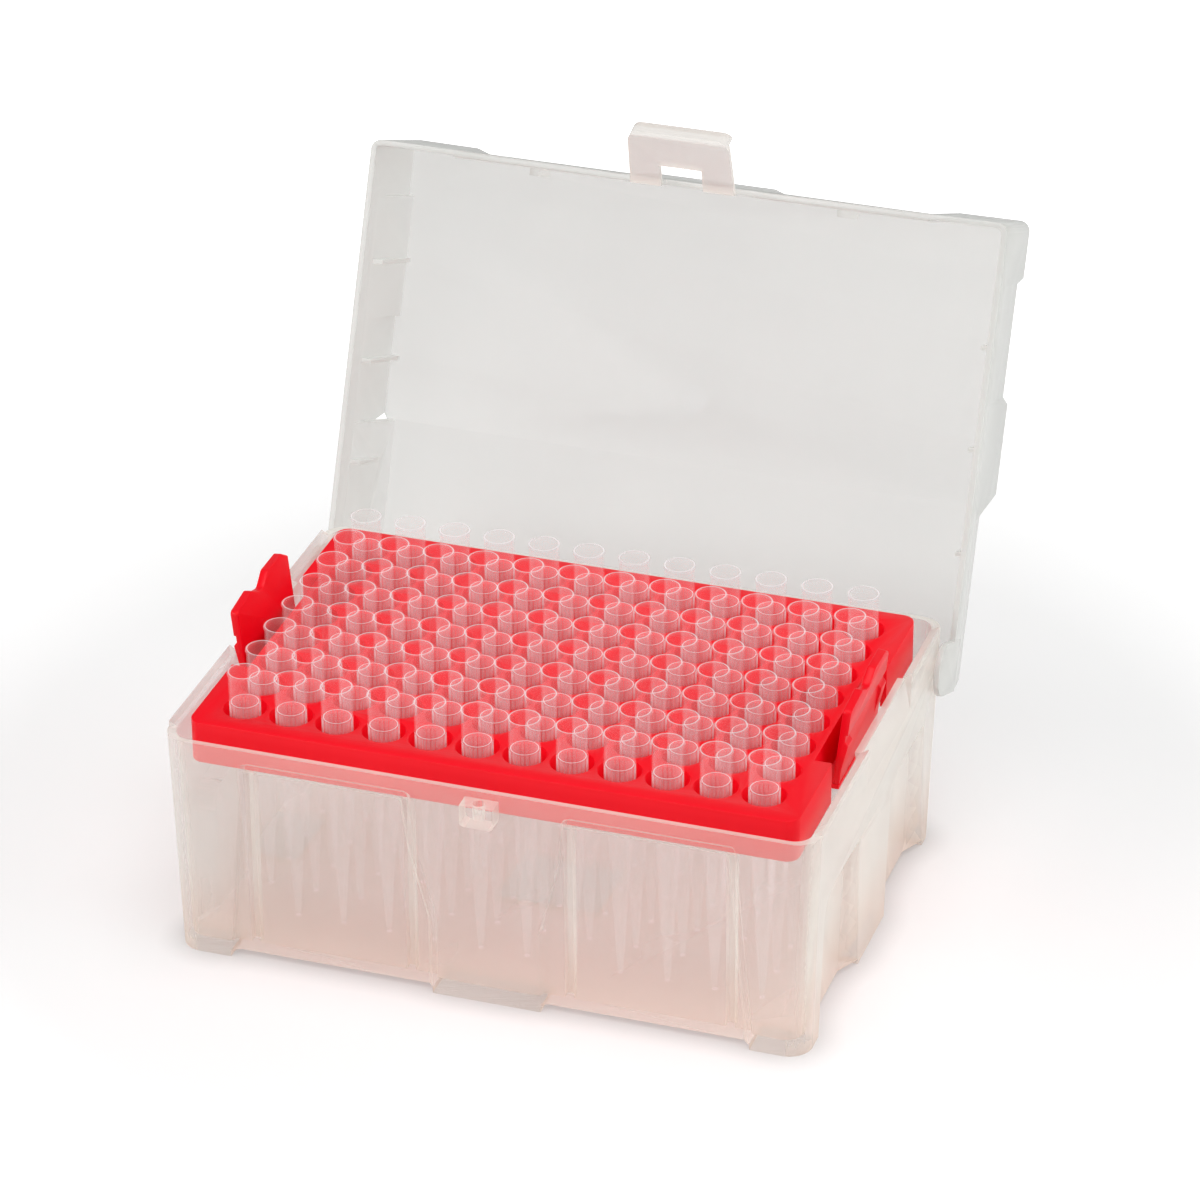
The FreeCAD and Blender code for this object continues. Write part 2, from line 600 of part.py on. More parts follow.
def make_tray():
    """Slab with a stepped well for each tip, a skirt under its edge and a bay at each end for a lever."""
    edge = plan(TRAY_HALF_X, -TRAY_HALF_Y, TRAY_HALF_Y, TRAY_CORNER_R, TRAY_CORNER_R)
    body = slab(edge, TRAY_BOTTOM_Z, TRAY_TOP_Z)
    under = slab(grown(edge, -TRAY_SKIRT_WALL), TRAY_BOTTOM_Z - PAST, TRAY_UNDER_Z)
    bay_front = LEVER_FRONT - LEVER_BAY_FRONT_GAP
    bay_back = LEVER_BACK + LEVER_BAY_BACK_GAP
    bay = block(LEVER_BAY_X, TRAY_HALF_X + PAST, bay_front, bay_back, TRAY_BOTTOM_Z - PAST, TRAY_TOP_Z + PAST)
    bay_wall = block(LEVER_BAY_X - TRAY_SKIRT_WALL, LEVER_BAY_X, bay_front - TRAY_SKIRT_WALL,
                     bay_back + TRAY_SKIRT_WALL, TRAY_BOTTOM_Z, TRAY_UNDER_Z)
    web = block(LEVER_BAY_X, LEVER_ROOT_X + LEVER_WALL, LEVER_FRONT, LEVER_BACK,
                TRAY_BOTTOM_Z, TRAY_BOTTOM_Z + WEB)
    bays = [bay, mirrored_x(bay)]
    walls = [bay_wall, mirrored_x(bay_wall), web, mirrored_x(web)]
    body = fused([body.cut([under] + bays)] + walls)
    wells = []
    for column in tip_places():
        for x, y in column:
            below = V(x, y, TRAY_UNDER_Z - PAST)
            wells.append(Part.makeCylinder(WELL_R, WELL_DEPTH + PAST, V(x, y, TIP_SEAT_Z)))
            wells.append(Part.makeCylinder(TIP_NECK_R + TIP_FIT, TRAY_SLAB + PAST, below))
    return body.cut(wells)


def make_lever():
    """Right-hand lever: a leaning plate with a scalloped top, a raised grip panel and two hooks."""
    root = TRAY_BOTTOM_Z + WEB + HINGE_GAP
    outline = [(LEVER_FRONT, 0, 0), (LEVER_BACK, 0, 0)]
    outline += [(y, LEVER_HEIGHT - drop, radius) for y, drop, radius in LEVER_SCALLOPS]
    plate = prism_x(outline, 0, LEVER_WALL)
    face = prism_x(outline, 0, LEVER_WALL + LEVER_GRIP)
    grip_room = block(-PAST, 2 * PAST, LEVER_FRONT, LEVER_BACK, LEVER_GRIP_START, LEVER_HEIGHT + PAST)
    grip = face.common(grip_room)
    hooks = []
    low = LEVER_HOOK_HEIGHT - LEVER_HOOK_DROP
    point = (LEVER_WALL + LEVER_HOOK_REACH, LEVER_HOOK_HEIGHT - LEVER_HOOK_REACH, 0)
    hook = [(0, low, 0), (LEVER_WALL, low, 0), point, (LEVER_WALL, LEVER_HOOK_HEIGHT, 0),
            (0, LEVER_HOOK_HEIGHT, 0)]
    for y0 in (LEVER_FRONT, LEVER_BACK - LEVER_HOOK_WIDTH):
        hooks.append(prism_y(hook, y0, y0 + LEVER_HOOK_WIDTH))
    lever = fused([plate, grip] + hooks)
    lever.rotate(ORIGIN, Y_AXIS, LEVER_LEAN)
    lever.translate(V(LEVER_ROOT_X, 0, root))
    return lever


# ---------------------------------------------------------------- tips
def make_tip(x, y):
    """One tip: collar with a rim, a stepped bore, and a long cone down to a fine end."""
    top = TIP_TOP_Z
    seat = TIP_SEAT_Z
    mid = seat - TIP_MID_BELOW_COLLAR
    rim = top - TIP_RIM_HEIGHT
    ledge = top - TIP_MOUTH_DEPTH
    outside = [(TIP_RIM_R, top), (TIP_RIM_R, rim), (TIP_COLLAR_R, rim), (TIP_COLLAR_R, seat),
               (TIP_NECK_R, seat), (TIP_MID_R, mid), (TIP_END_R, TIP_FLOOR_GAP)]
    bore = [(TIP_END_BORE_R, TIP_FLOOR_GAP), (TIP_MID_R - TIP_WALL, mid), (TIP_SEAT_R, ledge),
            (TIP_MOUTH_R, ledge), (TIP_MOUTH_R, top)]
    section = outside + bore + outside[:1]
    wire = Part.makePolygon([V(r, 0, z) for r, z in section])
    tip = Part.Face(wire).revolve(ORIGIN, Z_AXIS, 360)
    tip.translate(V(x, y, 0))
    return tip


# ---------------------------------------------------------------- build
def build():
    """Every node by name, with the origin under the middle of the whole part."""
    lever = make_lever()
    nodes = {
        "base": make_base(),
        "lid": make_lid(),
        "lid_latch": make_latch(),
        "tray": make_tray(),
        "tray_lever_left": mirrored_x(lever),
        "tray_lever_right": lever,
    }
    for number, column in enumerate(tip_places(), 1):
        nodes["tips_column_%02d" % number] = Part.makeCompound([make_tip(x, y) for x, y in column])
    middle = (nodes["lid"].optimalBoundingBox().YMax + nodes["base"].optimalBoundingBox().YMin) / 2
    for shape in nodes.values():
        shape.translate(V(0, -middle, 0))
    print("middle of the part in y:", round(middle, 4))
    return nodes


os.makedirs("parts", exist_ok=True)
for name, solid in build().items():
    solid.exportStep("parts/" + name + ".step")
    print(name, solid.isValid(), len(solid.Solids), round(solid.Volume))
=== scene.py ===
# %% [markdown]
# # A box of pipette tips
#
# The object is a box for the disposable tips of a laboratory pipette. A red tray holds 96 clear
# tips on the 9 mm pitch of a microplate. The tray sits in a milky base, and a milky lid stands open
# behind it.
#
# Everything in the box is injection-moulded polypropylene, but in three finishes: left natural and
# milky, dyed solid red, and clarified so that it is nearly as clear as glass. So most of this
# lesson is about light that passes through plastic, and about the small rounded edges that a mould
# leaves.

import json
import math

import bmesh
import bpy
from mathutils import Matrix, Vector
from mathutils.bvhtree import BVHTree


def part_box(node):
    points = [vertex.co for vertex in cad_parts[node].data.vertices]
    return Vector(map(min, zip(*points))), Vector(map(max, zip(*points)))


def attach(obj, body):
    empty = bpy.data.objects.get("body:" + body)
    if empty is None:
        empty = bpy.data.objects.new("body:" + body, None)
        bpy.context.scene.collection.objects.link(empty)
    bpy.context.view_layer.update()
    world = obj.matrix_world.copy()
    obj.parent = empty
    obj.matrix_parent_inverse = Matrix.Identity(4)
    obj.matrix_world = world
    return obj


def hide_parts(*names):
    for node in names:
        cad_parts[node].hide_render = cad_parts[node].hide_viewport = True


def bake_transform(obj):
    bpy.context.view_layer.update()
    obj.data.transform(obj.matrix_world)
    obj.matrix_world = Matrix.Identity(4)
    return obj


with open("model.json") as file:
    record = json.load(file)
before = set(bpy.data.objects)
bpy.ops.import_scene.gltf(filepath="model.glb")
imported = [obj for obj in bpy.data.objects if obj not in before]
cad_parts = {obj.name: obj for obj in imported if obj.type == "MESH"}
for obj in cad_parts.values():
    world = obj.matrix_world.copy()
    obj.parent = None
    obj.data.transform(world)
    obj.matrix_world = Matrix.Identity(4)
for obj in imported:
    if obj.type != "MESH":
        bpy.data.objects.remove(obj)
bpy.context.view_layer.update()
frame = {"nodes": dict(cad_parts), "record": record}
nodes = frame["nodes"]

# %% [markdown]
# Blender works in metres and the parts are a few millimetres thick, so sizes are written in
# millimetres and multiplied by MM. Colours are easiest to choose as the hex values of a paint
# chart. Those are sRGB values, and shaders want linear ones, so one function turns one into the
# other.

# %% Units and colours
MM = 0.001


def linear(hex_colour):
    """Linear RGBA for a shader from an sRGB hex value such as "C81E28"."""
    parts = [int(hex_colour[i:i + 2], 16) / 255 for i in (0, 2, 4)]
    return [c / 12.92 if c <= 0.04045 else ((c + 0.055) / 1.055) ** 2.4 for c in parts] + [1.0]


print("mid grey 808080 is", round(linear("808080")[0], 3), "in linear light")

# %% [markdown]
# A shader is a small graph of nodes. The helper below adds one node, sets its values and links its
# inputs in a single call, so that each material reads as a list of what it is made of.

# %% A helper for shader nodes
def add(tree, kind, values=None, links=None, **settings):
    """Adds one node. values are input numbers by name or index, links are outputs to plug in."""
    node = tree.nodes.new(kind)
    for name, value in settings.items():
        setattr(node, name, value)
    for name, value in (values or {}).items():
        node.inputs[name].default_value = value
    for name, socket in (links or {}).items():
        tree.links.new(socket, node.inputs[name])
    return node


def new_material(name):
    """An empty node material: its tree and its output node."""
    material = bpy.data.materials.new(name)
    material.use_nodes = True
    material.node_tree.nodes.clear()
    return material, material.node_tree, material.node_tree.nodes.new("ShaderNodeOutputMaterial")


# %% [markdown]
# ## How thick is the plastic here?
#
# Natural polypropylene holds tiny crystals that scatter light, so it turns whiter the deeper one
# looks into it. A thin wall is a faint veil, while a rim that is seen from above is deep and looks
# whiter. The shader therefore needs to know how thick the plastic is behind each face: a ray is
# sent inward from each triangle of the face, and the median distance to the far side is stored with
# the mesh. The median takes no notice of a rib that stands behind part of a wall. Each mesh has a
# deepest value, and nothing counts as deeper than that, or the rims would look like white paint.

# %% Measure the plastic behind each face
SKIN_MM = 0.002


def median_by_area(parts):
    """The middle depth of (depth, area) pairs, where half of the area is thinner."""
    half = sum(area for depth, area in parts) / 2
    for depth, area in sorted(parts):
        half -= area
        if half <= 0:
            return depth
    return depth


def measure_walls(mesh, deepest_mm):
    """Stores the thickness behind each face as wall_mm, in millimetres and at most deepest_mm."""
    mesh.calc_loop_triangles()
    triangles = mesh.loop_triangles
    solid = BVHTree.FromPolygons([v.co for v in mesh.vertices], [t.vertices for t in triangles])
    depths = [[] for face in mesh.polygons]
    for triangle in triangles:
        middle = sum((mesh.vertices[i].co for i in triangle.vertices), Vector()) / 3
        inward = -mesh.polygons[triangle.polygon_index].normal
        distance = solid.ray_cast(middle + inward * SKIN_MM * MM, inward)[3]
        depth = deepest_mm if distance is None else min(distance / MM, deepest_mm)
        depths[triangle.polygon_index].append((depth, triangle.area))
    walls = [median_by_area(parts) for parts in depths]
    layer = mesh.attributes.new("wall_mm", "FLOAT", "FACE")
    layer.data.foreach_set("value", walls)
    return walls


# %% [markdown]
# ## Milky and clear polypropylene
#
# One shader serves the base, the lid, the latch and the tips. It mixes a Transparent shader with
# the plastic itself, and the share of plastic follows the Beer-Lambert law: what is still clear
# after a depth d is exp(-d / free path). A slanting look passes through more of the wall, so the
# depth is divided by the cosine of the angle, which also draws the bright outlines of a clear tube.
# Each wall has two faces, so each face takes half of its depth.
#
# Three helpers build the plastics: the fine bump of a mould, a soft drift between two tones, and a
# Math node that takes sockets or plain numbers.

# %% Helpers for the plastics
POLYPROPYLENE_IOR = 1.49
TONES_FROM = 0.2
TONES_TO = 0.8


def moulded_grain(tree, coordinates, size_mm, strength_mm):
    """Fine bump of a spark-eroded mould: grains of size_mm, strength_mm high."""
    grain = add(tree, "ShaderNodeTexNoise", {"Scale": 1 / (size_mm * MM), "Detail": 0.0},
                {"Vector": coordinates})
    return add(tree, "ShaderNodeBump", {"Strength": 1.0, "Distance": strength_mm * MM},
               {"Height": grain.outputs["Fac"]})


def two_tones(tree, factor, low, high):
    """A soft change between two hex colours where a noise goes from TONES_FROM to TONES_TO."""
    tone = add(tree, "ShaderNodeValToRGB", None, {"Fac": factor})
    ends = zip(tone.color_ramp.elements, (TONES_FROM, TONES_TO), (low, high))
    for element, place, colour in ends:
        element.position = place
        element.color = linear(colour)
    return tone.outputs[0]


def number(tree, operation, first, second=None):
    """One Math node; first and second are sockets or plain numbers."""
    values, links = {}, {}
    for index, item in enumerate((first, second)):
        if isinstance(item, (int, float)):
            values[index] = item
        elif item is not None:
            links[index] = item
    return add(tree, "ShaderNodeMath", values, links, operation=operation).outputs[0]


print("index of refraction of polypropylene:", POLYPROPYLENE_IOR)

# %% [markdown]
# The lamps' light also meets the veil on its way in, as shadow rays and as light scattered inside
# the box. Most of what a crystal scatters goes on forward, so the two FORWARD values take away that
# share of the veil for those rays, and the inside of the box stays bright.

# %% How much of the view the plastic covers
FACES_PER_WALL = 2
GRAZING_COSINE = 0.12
LAMP_FORWARD = 0.86
INSIDE_FORWARD = 0.25


def veil(tree, free_path_mm):
    """Share of plastic in the mix: 0 is clear, 1 is solid white."""
    wall = add(tree, "ShaderNodeAttribute", attribute_name="wall_mm").outputs["Fac"]
    facing = add(tree, "ShaderNodeLayerWeight", {"Blend": 0.5}).outputs["Facing"]
    cosine = number(tree, "SUBTRACT", 1 + GRAZING_COSINE, facing)
    depth = number(tree, "DIVIDE", wall, cosine)
    per_face = number(tree, "MULTIPLY", depth, -1 / (FACES_PER_WALL * free_path_mm))
    clear = number(tree, "EXPONENT", per_face)
    milk = number(tree, "SUBTRACT", 1.0, clear)
    path = add(tree, "ShaderNodeLightPath")
    from_lamp = number(tree, "MULTIPLY", path.outputs["Is Shadow Ray"], LAMP_FORWARD)
    from_inside = number(tree, "MULTIPLY", path.outputs["Is Diffuse Ray"], INSIDE_FORWARD)
    kept = number(tree, "SUBTRACT", 1.0, number(tree, "ADD", from_lamp, from_inside))
    return number(tree, "MULTIPLY", milk, kept)


print("share of the veil that stops the lamps' light:", round(1 - LAMP_FORWARD, 2),
      "and the light inside:", 1 - INSIDE_FORWARD)

# %% [markdown]
# The tone drifts a little over the moulding, and so does the gloss. Near the bench the base's tone
# gets a painted red glow, standing in for the red light of the tray that its walls carry down.

# %% The shader of undyed polypropylene
GRAIN_MM = 0.6
# Painted red glow: below this height the base's tone is tinted warm, in place of the tray's light.
PAINTED_GLOW_TINT = "F6E2D8"
PAINTED_GLOW_HEIGHT_MM = 18.0


def painted_tray_glow(tree, where, tone):
    """The tone with a painted red glow of the tray, tinted in near the bench."""
    height = add(tree, "ShaderNodeSeparateXYZ", None, {0: where}).outputs["Z"]
    share = add(tree, "ShaderNodeMapRange",
                {"From Max": PAINTED_GLOW_HEIGHT_MM * MM, "To Min": 1.0, "To Max": 0.0},
                {"Value": height}).outputs[0]
    glow_tinted = add(tree, "ShaderNodeMix", {"B": linear(PAINTED_GLOW_TINT)}, {"Factor": share, "A": tone},
               data_type="RGBA", blend_type="MULTIPLY")
    return glow_tinted.outputs["Result"]


def undyed_polypropylene(name, low, high, free_path_mm, clouds_mm, polish, grain_mm, painted_glow=False):
    """Two hex tones in clouds, polish as the range of roughness, and a grain grain_mm high."""
    material, tree, output = new_material(name)
    where = add(tree, "ShaderNodeTexCoord").outputs["Object"]
    clouds = add(tree, "ShaderNodeTexNoise", {"Scale": 1 / (clouds_mm * MM), "Detail": 1.0},
                 {"Vector": where}).outputs["Fac"]
    gloss = add(tree, "ShaderNodeMapRange", {"To Min": polish[0], "To Max": polish[1]},
                {"Value": clouds})
    tone = two_tones(tree, clouds, low, high)
    # Near the bench, a painted red glow of the tray tints the tone.
    if painted_glow:
        tone = painted_tray_glow(tree, where, tone)
    bump = moulded_grain(tree, where, GRAIN_MM, grain_mm)
    plastic = add(tree, "ShaderNodeBsdfPrincipled", {"IOR": POLYPROPYLENE_IOR},
                  {"Base Color": tone, "Roughness": gloss.outputs[0], "Normal": bump.outputs[0]})
    clear = add(tree, "ShaderNodeBsdfTransparent")
    mix = add(tree, "ShaderNodeMixShader", None,
              {0: veil(tree, free_path_mm), 1: clear.outputs[0], 2: plastic.outputs[0]})
    tree.links.new(mix.outputs[0], output.inputs["Surface"])
    return material


# %% The four undyed plastics
# The base gets the painted red glow of the tray near the bench.
base_plastic = undyed_polypropylene(
    "milky polypropylene, moulded, base", low="EEEAE1", high="F6F2EA", free_path_mm=3.0,
    clouds_mm=26.0, polish=(0.29, 0.36), grain_mm=0.004, painted_glow=True)
# The lid's tones are set darker than the base's as painted shade: the same milky plastic, toned down
# for the strong light on the lid's inner face.
shaded_lid_plastic = undyed_polypropylene(
    "milky polypropylene, moulded, lid", low="D9DAD6", high="E0E1DD", free_path_mm=1.2,
    clouds_mm=30.0, polish=(0.29, 0.35), grain_mm=0.004)
latch_plastic = undyed_polypropylene(
    "milky polypropylene, moulded, latch", low="ECE7E1", high="F2EDE7", free_path_mm=1.2,
    clouds_mm=12.0, polish=(0.29, 0.35), grain_mm=0.004)
# The pinkish tones of the tips are a painted red glow, standing in for the tray's red light that the
# clear plastic picks up.
pink_glow_clear_plastic = undyed_polypropylene(
    "clarified polypropylene, polished", low="FFF4F6", high="FFFAFC", free_path_mm=3.4,
    clouds_mm=3.0, polish=(0.06, 0.12), grain_mm=0.001)
print("undyed plastics:", ", ".join(material.name for material in bpy.data.materials))

# %% [markdown]
# ## The red plastic of the tray
#
# The tray and its two levers are dyed all through. The dye makes the plastic opaque, so there is no
# veil, only a little scattering under the surface that lifts the shaded faces. A soft gloss over a
# fine moulded grain gives the broad, weak highlights of polypropylene.

# %% Red polypropylene, injection moulded
RED_FLOW_MM = 14.0
RED_TONES = ("F0061C", "F50C20")
RED_POLISH = (0.29, 0.36)
RED_GRAIN_MM = 0.4
RED_GRAIN_HEIGHT_MM = 0.003
RED_SCATTER_MM = 1.0
RED_SCATTER_SHARE = 0.15


def red_polypropylene():
    """Solid red plastic with a soft gloss."""
    material, tree, output = new_material("red polypropylene, moulded")
    where = add(tree, "ShaderNodeTexCoord").outputs["Object"]
    flow = add(tree, "ShaderNodeTexNoise", {"Scale": 1 / (RED_FLOW_MM * MM), "Detail": 2.0},
               {"Vector": where}).outputs["Fac"]
    gloss = add(tree, "ShaderNodeMapRange", {"To Min": RED_POLISH[0], "To Max": RED_POLISH[1]},
                {"Value": flow})
    bump = moulded_grain(tree, where, RED_GRAIN_MM, RED_GRAIN_HEIGHT_MM)
    plastic = add(tree, "ShaderNodeBsdfPrincipled",
                  {"IOR": POLYPROPYLENE_IOR, "Specular IOR Level": 0.2,
                   "Subsurface Weight": RED_SCATTER_SHARE, "Subsurface Radius": (1.0, 0.15, 0.12),
                   "Subsurface Scale": RED_SCATTER_MM * MM},
                  {"Base Color": two_tones(tree, flow, *RED_TONES), "Roughness": gloss.outputs[0],
                   "Normal": bump.outputs[0]})
    tree.links.new(plastic.outputs[0], output.inputs["Surface"])
    return material


red_plastic = red_polypropylene()
print("red plastic:", red_plastic.name)

# %% [markdown]
# ## Rounded edges
#
# No edge of a moulded part is sharp. The CAD solids are, so each one is copied, its triangles are
# merged back into flat faces, and a Bevel modifier rounds what is left. The result is kept as a
# plain mesh, because the walls are measured on it, and it stands for the CAD node from then on.

# %% A softened copy of a CAD node
WELD_MM = 0.002
FLAT_DEG = 1.0
SHARP_DEG = 40.0
BEVEL_STEPS = 2
DEEPEST_MM = 3.0


def place(name, mesh, material, body, slot, *replaced):
    """Puts a finished mesh in the scene, with its material, its body and the nodes it stands for."""
    mesh.materials.clear()
    mesh.materials.append(material)
    piece = bpy.data.objects.new(name, mesh)
    bpy.context.scene.collection.objects.link(piece)
    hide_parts(*replaced)
    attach(piece, body)


def slot_of(node):
    """The record's material slot of a CAD node."""
    subparts = frame["record"]["subparts"]
    return next(part["material_slot"] for part in subparts if part["node"] == node)


def softened(node, material, radius_mm, body):
    """A copy of a CAD node with its sharp edges rounded and its walls measured."""
    bm = bmesh.new()
    bm.from_mesh(nodes[node].data)
    bmesh.ops.remove_doubles(bm, verts=bm.verts, dist=WELD_MM * MM)
    bmesh.ops.dissolve_limit(bm, angle_limit=math.radians(FLAT_DEG), verts=bm.verts, edges=bm.edges)
    plain = bpy.data.meshes.new(node + "_plain")
    bm.to_mesh(plain)
    bm.free()
    plain.shade_smooth()
    draft = bpy.data.objects.new(node + "_draft", plain)
    bpy.context.scene.collection.objects.link(draft)
    bevel = draft.modifiers.new("rounded edges", "BEVEL")
    bevel.width = radius_mm * MM
    bevel.segments = BEVEL_STEPS
    bevel.limit_method = "ANGLE"
    bevel.angle_limit = math.radians(SHARP_DEG)
    bevel.harden_normals = True
    graph = bpy.context.evaluated_depsgraph_get()
    mesh = bpy.data.meshes.new_from_object(draft.evaluated_get(graph))
    bpy.data.objects.remove(draft)
    walls = measure_walls(mesh, DEEPEST_MM)
    middle = sorted(walls)[len(walls) // 2]
    print(node, "faces:", len(mesh.polygons), "middle wall mm:", round(middle, 2))
    place(node + "_soft", mesh, material, body, slot_of(node), node)


# %% Six softened pieces
softened("base", base_plastic, radius_mm=0.35, body="base")
softened("lid", shaded_lid_plastic, radius_mm=0.3, body="lid")
softened("lid_latch", latch_plastic, radius_mm=0.25, body="latch")
softened("tray", red_plastic, radius_mm=0.4, body="base")
softened("tray_lever_left", red_plastic, radius_mm=0.2, body="lever_left")
softened("tray_lever_right", red_plastic, radius_mm=0.2, body="lever_right")

# %% [markdown]
# The latch and the levers hang on moulded hinges, where the plastic is only half a millimetre thick
# and bends.

# %% Moulded hinges
STRIP_MM = 0.5
LATCH_HINGE = Vector((0, 50.225, 112.404)) * MM
LATCH_ALONG = Vector((0, -0.924, 0.383))
LATCH_STRIP_X_MM = (4.4, 10.2)
LATCH_STRIP_HALF_MM = 0.55
LEVER_HINGE_X_MM = 57.2
LEVER_HINGE_Z_MM = 40.5
LEVER_STRIP_Y_MM = (-38.0, -13.0)
LEVER_STRIP_HALF_MM = 0.45
STRIP_CUTS = 3


def strip(name, middle, half_length, along, half_height, material):
    """A thin strip between two bodies: half_length in X or Y, half_height in along."""
    side = Vector((0, 1, 0)) if half_length.y else Vector((1, 0, 0))
    normal = side.cross(along).normalized()
    axes = Matrix((side * half_length.length, along * half_height,
                   normal * STRIP_MM / 2 * MM)).transposed()
    bm = bmesh.new()
    bmesh.ops.create_cube(bm, size=2.0)
    bmesh.ops.subdivide_edges(bm, edges=bm.edges, cuts=STRIP_CUTS, use_grid_fill=True)
    bmesh.ops.transform(bm, matrix=Matrix.Translation(middle) @ axes.to_4x4(), verts=bm.verts)
    bmesh.ops.recalc_face_normals(bm, faces=bm.faces)
    mesh = bpy.data.meshes.new(name)
    bm.to_mesh(mesh)
    bm.free()
    measure_walls(mesh, STRIP_MM)
    mesh.materials.append(material)
    piece = bpy.data.objects.new(name, mesh)
    bpy.context.scene.collection.objects.link(piece)
    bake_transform(piece)


for side, name in ((-1, "left"), (1, "right")):
    across = (LATCH_STRIP_X_MM[1] - LATCH_STRIP_X_MM[0]) / 2 * MM
    middle = LATCH_HINGE + Vector((side * (LATCH_STRIP_X_MM[0] * MM + across), 0, 0))
    strip("latch_strip_" + name, middle, Vector((across, 0, 0)), LATCH_ALONG,
          LATCH_STRIP_HALF_MM * MM, latch_plastic)
    span = (LEVER_STRIP_Y_MM[1] - LEVER_STRIP_Y_MM[0]) / 2 * MM
    middle = Vector((side * LEVER_HINGE_X_MM * MM, LEVER_STRIP_Y_MM[0] * MM + span,
                     LEVER_HINGE_Z_MM * MM))
    strip("lever_strip_" + name, middle, Vector((0, span, 0)), Vector((0, 0, 1)),
          LEVER_STRIP_HALF_MM * MM, red_plastic)
print("moulded hinges: two strips for the latch, one for each lever")

# %% [markdown]
# ## The tips
#
# A tip is a thin tube, so one side of its wall is drawn as a closed outline, in millimetres, and
# spun round. The rim carries a small bead. The pipette's cone seals against the smooth upper bore,
# which ends in a ledge; below the ledge the collar is finely fluted on the outside.

# %% The outline of a tip
TIP_RIM_R = 3.1
TIP_COLLAR_R = 2.9
TIP_BORE_R = 2.6
TIP_BORE_DEPTH = 6.3
TIP_LEDGE_R = 2.35
TIP_COLLAR_LENGTH = 12.5
TIP_NECK_R = 2.6
TIP_NECK_BORE_R = 2.15
TIP_MID_R = 1.6
TIP_MID_WALL = 0.4
TIP_MID_DEPTH = 33.5
TIP_END_R = 0.5
TIP_END_BORE_R = 0.25
TIP_LENGTH = 50.5


def tip_outline():
    """(radius, depth below the rim) round the section of the wall, starting at the mouth."""
    rim = [(2.70, 0.0), (2.92, 0.0), (3.05, 0.06), (TIP_RIM_R, 0.2), (TIP_RIM_R, 0.36), (3.03, 0.52),
           (2.93, 0.66), (TIP_COLLAR_R, 0.9)]
    outside = [(TIP_COLLAR_R, TIP_BORE_DEPTH - 0.1), (TIP_COLLAR_R, TIP_BORE_DEPTH + 0.25),
               (TIP_COLLAR_R, TIP_COLLAR_LENGTH), (TIP_NECK_R, TIP_COLLAR_LENGTH),
               (TIP_MID_R, TIP_MID_DEPTH), (TIP_END_R, TIP_LENGTH)]
    inside = [(TIP_END_BORE_R, TIP_LENGTH), (TIP_MID_R - TIP_MID_WALL, TIP_MID_DEPTH),
              (TIP_NECK_BORE_R, TIP_COLLAR_LENGTH), (TIP_LEDGE_R, TIP_BORE_DEPTH + 0.15),
              (TIP_LEDGE_R + 0.1, TIP_BORE_DEPTH), (TIP_BORE_R, TIP_BORE_DEPTH),
              (TIP_BORE_R + 0.02, 0.3), (2.64, 0.06)]
    return rim + outside + inside


print("points in the outline:", len(tip_outline()))

# %% [markdown]
# The outline is spun in four lines for each flute, and two of the four are scaled in a little. The
# ridges between the flutes are matt, so they count as thicker for the veil.

# %% One tip
TIP_FLUTES = 20
LINES_PER_FLUTE = 4
LINES_SCALED_IN = 2
TIP_FLUTE_DEPTH = 0.22
TIP_FLUTED_BEYOND_R = 2.8
TIP_RIDGE_MM = 0.45
TIP_MATT_RIDGE = 1.6
TIP_WELD_MM = 0.001
TIP_DEEPEST_MM = 3.0


def make_tip():
    """The mesh of one tip at the origin, with its mouth at z = 0."""
    bm = bmesh.new()
    ring = [bm.verts.new((r * MM, 0, -depth * MM)) for r, depth in tip_outline()]
    edges = [bm.edges.new((a, b)) for a, b in zip(ring, ring[1:] + ring[:1])]
    bmesh.ops.spin(bm, geom=ring + edges, cent=(0, 0, 0), axis=(0, 0, 1), angle=math.tau,
                   steps=LINES_PER_FLUTE * TIP_FLUTES, use_merge=True)
    bmesh.ops.remove_doubles(bm, verts=bm.verts, dist=TIP_WELD_MM * MM)
    top = -(TIP_BORE_DEPTH + 0.2) * MM
    low = -(TIP_COLLAR_LENGTH + 0.01) * MM
    step = math.tau / (LINES_PER_FLUTE * TIP_FLUTES)
    outer = [v for v in bm.verts
             if low < v.co.z < top and v.co.xy.length > TIP_FLUTED_BEYOND_R * MM]
    fluted = [v for v in outer
              if round(math.atan2(v.co.y, v.co.x) / step) % LINES_PER_FLUTE < LINES_SCALED_IN]
    share = 1 - TIP_FLUTE_DEPTH / TIP_COLLAR_R
    bmesh.ops.scale(bm, vec=(share, share, 1), verts=fluted)
    bmesh.ops.recalc_face_normals(bm, faces=bm.faces)
    mesh = bpy.data.meshes.new("one_tip")
    bm.to_mesh(mesh)
    bm.free()
    return mesh


one_tip = make_tip()
tip_walls = measure_walls(one_tip, TIP_DEEPEST_MM)
matt_faces = 0
for face, wall in zip(one_tip.polygons, one_tip.attributes["wall_mm"].data):
    on_collar = -TIP_COLLAR_LENGTH * MM < face.center.z < -TIP_BORE_DEPTH * MM
    if on_collar and wall.value > TIP_RIDGE_MM:
        wall.value *= TIP_MATT_RIDGE
        matt_faces += 1
print("faces of one tip:", len(one_tip.polygons), "matt:", matt_faces,
      "thinnest mm:", round(min(tip_walls), 2))

# %% [markdown]
# Each column of the tray gets eight copies of that mesh in one piece, spaced over the box of the
# CAD column. Edges sharper than TIP_SHARP_DEG stay sharp, so that the ledge and the flutes are
# crisp.

